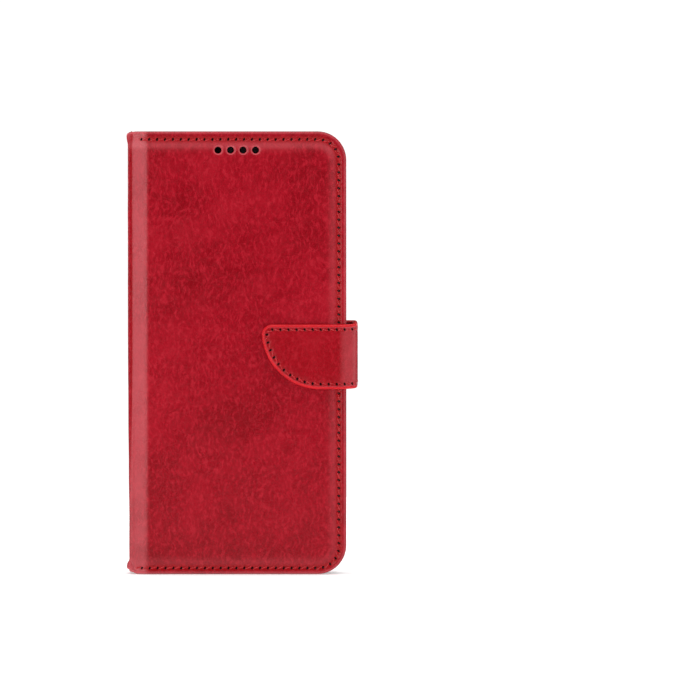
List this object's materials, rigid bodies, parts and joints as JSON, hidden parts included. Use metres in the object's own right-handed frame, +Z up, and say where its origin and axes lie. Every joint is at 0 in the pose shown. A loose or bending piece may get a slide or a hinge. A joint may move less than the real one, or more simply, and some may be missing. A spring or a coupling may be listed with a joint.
{
  "type": "phone wallet case",
  "caption": "Folding leather wallet case for a phone: padded front cover with card slots, soft plastic tray and a magnetic strap that closes round the side.",
  "frame": {"origin": "bottom centre of the closed case, strap included", "axes": "+X from the spine to the strap side, -Y is the front cover's outer face, +Z up along the spine"},
  "size_m": [0.0882, 0.0186, 0.17],
  "materials": {
    "outer_leather": "satin, fine grained, cloudy two-tone red",
    "lining_leather": "matt, fine grained, dark red",
    "board": "plain grey-brown board",
    "foam": "soft white foam",
    "soft_plastic": "satin, blue-black",
    "steel": "plain rolled",
    "magnet": "matt",
    "pocket_cloth": "fine black cloth",
    "thread": "twisted red thread"
  },
  "bodies": {
    "back_cover": {"back_outer_leather": "outer_leather", "back_stiffener_board": "board", "back_lining": "lining_leather", "back_cover_thread": "thread", "strap_root": "outer_leather", "phone_tray": "soft_plastic"},
    "power_button": {"power_button": "soft_plastic"},
    "volume_down_button": {"volume_down_button": "soft_plastic"},
    "volume_up_button": {"volume_up_button": "soft_plastic"},
    "spine": {"spine_outer_leather": "outer_leather", "spine_stiffener": "board", "spine_lining": "lining_leather"},
    "front_cover": {"front_outer_leather": "outer_leather", "front_foam_pad": "foam", "front_stiffener_board": "board", "catch_plate": "steel", "front_cover_lining": "lining_leather", "cash_pocket_sheet": "pocket_cloth", "card_pocket_upper": "pocket_cloth", "card_pocket_middle": "pocket_cloth", "card_pocket_lower": "pocket_cloth", "inner_panel_leather": "outer_leather", "inner_panel_thread": "thread", "front_cover_thread": "thread"},
    "strap_side": {"strap_side_leather": "outer_leather", "strap_side_core": "board", "strap_side_lining": "lining_leather", "strap_side_thread": "thread"},
    "strap_tab": {"strap_tab_leather": "outer_leather", "strap_tab_core": "board", "strap_tab_magnet": "magnet", "strap_tab_lining": "lining_leather", "strap_tab_thread": "thread"}
  },
  "joints": [
    {"name": "spine_fold", "type": "hinge", "parent": "back_cover", "child": "spine", "pos_m": [-0.04305, 0.00815, 0.085], "axis": [0, 0, -1], "range_deg": [0, 175]},
    {"name": "cover_fold", "type": "hinge", "parent": "spine", "child": "front_cover", "pos_m": [-0.0423, -0.0049, 0.085], "axis": [0, 0, -1], "range_deg": [0, 175]},
    {"name": "strap_fold", "type": "hinge", "parent": "back_cover", "child": "strap_side", "pos_m": [0.04315, 0.00805, 0.08405], "axis": [0, 0, 1], "range_deg": [0, 90]},
    {"name": "tab_fold", "type": "hinge", "parent": "strap_side", "child": "strap_tab", "pos_m": [0.04315, -0.00825, 0.08405], "axis": [0, 0, 1], "range_deg": [0, 90]},
    {"name": "power_press", "type": "slide", "parent": "back_cover", "child": "power_button", "axis": [-1, 0, 0], "range_m": [0, 0.0004], "stiffness_N_per_m": 1500, "springref_m": -0.0002},
    {"name": "volume_down_press", "type": "slide", "parent": "back_cover", "child": "volume_down_button", "axis": [-1, 0, 0], "range_m": [0, 0.0004], "stiffness_N_per_m": 1500, "springref_m": -0.0002},
    {"name": "volume_up_press", "type": "slide", "parent": "back_cover", "child": "volume_up_button", "axis": [-1, 0, 0], "range_m": [0, 0.0004], "stiffness_N_per_m": 1500, "springref_m": -0.0002}
  ]
}
